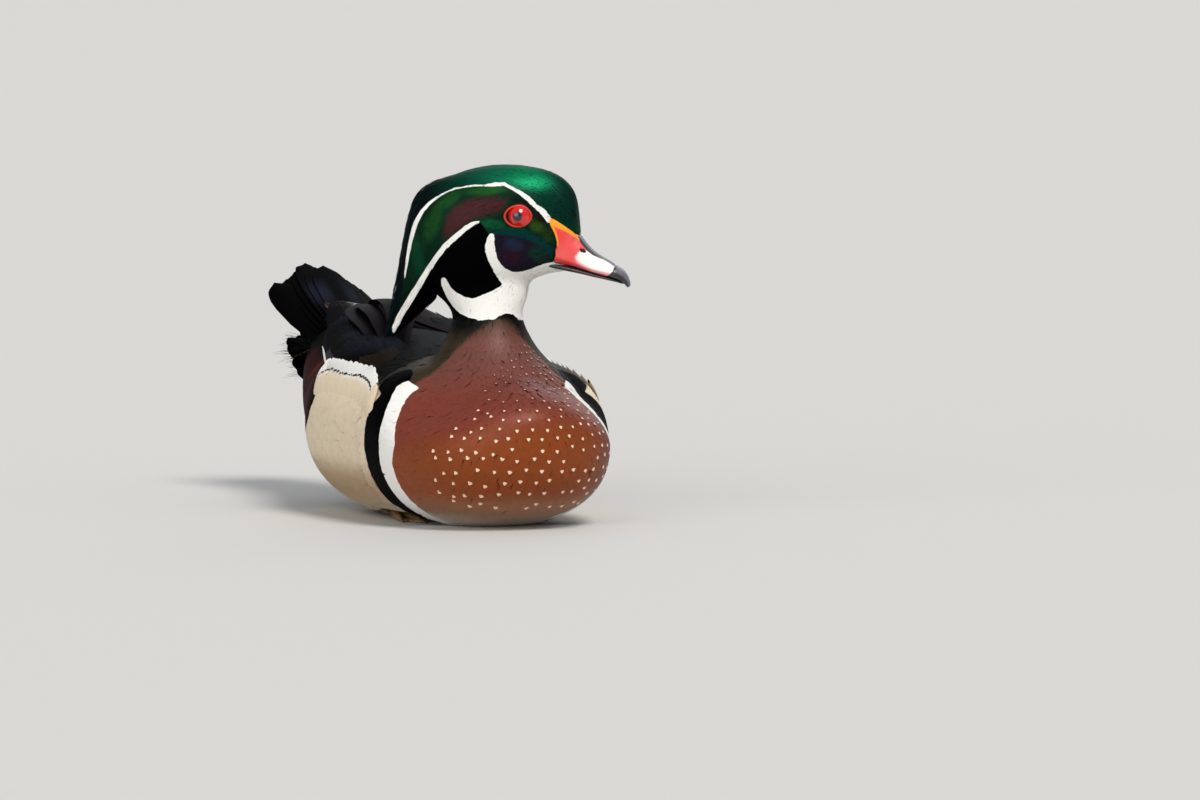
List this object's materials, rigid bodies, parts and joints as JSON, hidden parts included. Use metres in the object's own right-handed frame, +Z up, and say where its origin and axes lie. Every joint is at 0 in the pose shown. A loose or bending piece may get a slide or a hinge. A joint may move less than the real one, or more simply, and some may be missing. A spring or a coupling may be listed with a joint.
{
  "type": "wood duck",
  "caption": "Life-size drake wood duck resting on its belly, head turned to its left, with a swept-back crest and cocked tail.",
  "frame": {"origin": "on the floor, in the middle of the flat on the belly that the bird rests on", "axes": "+X forward along the body towards the breast, +Y the bird's left, +Z up"},
  "size_m": [0.3208, 0.1269, 0.1787],
  "materials": {
    "buff": "soft barred flank feathers",
    "maroon": "soft breast feathers",
    "iridescent_green": "silky iridescent feathers",
    "black_sheen": "silky crest feathers",
    "bronze_black": "firm wing and tail feathers with a bronze sheen",
    "bill_red": "smooth horn, satin",
    "bill_black": "smooth horn, satin",
    "eye_red": "wet and glossy",
    "foot_yellow": "scaled skin"
  },
  "bodies": {
    "root": {"torso": "buff", "neck": "maroon", "head": "iridescent_green", "crest": "black_sheen", "tail": "bronze_black", "wing_left": "bronze_black", "wing_right": "bronze_black", "bill_upper": "bill_red", "bill_lower": "bill_black", "eye_left": "eye_red", "eye_right": "eye_red", "leg_left": "foot_yellow", "leg_right": "foot_yellow", "foot_left": "foot_yellow", "foot_right": "foot_yellow"}
  },
  "joints": []
}
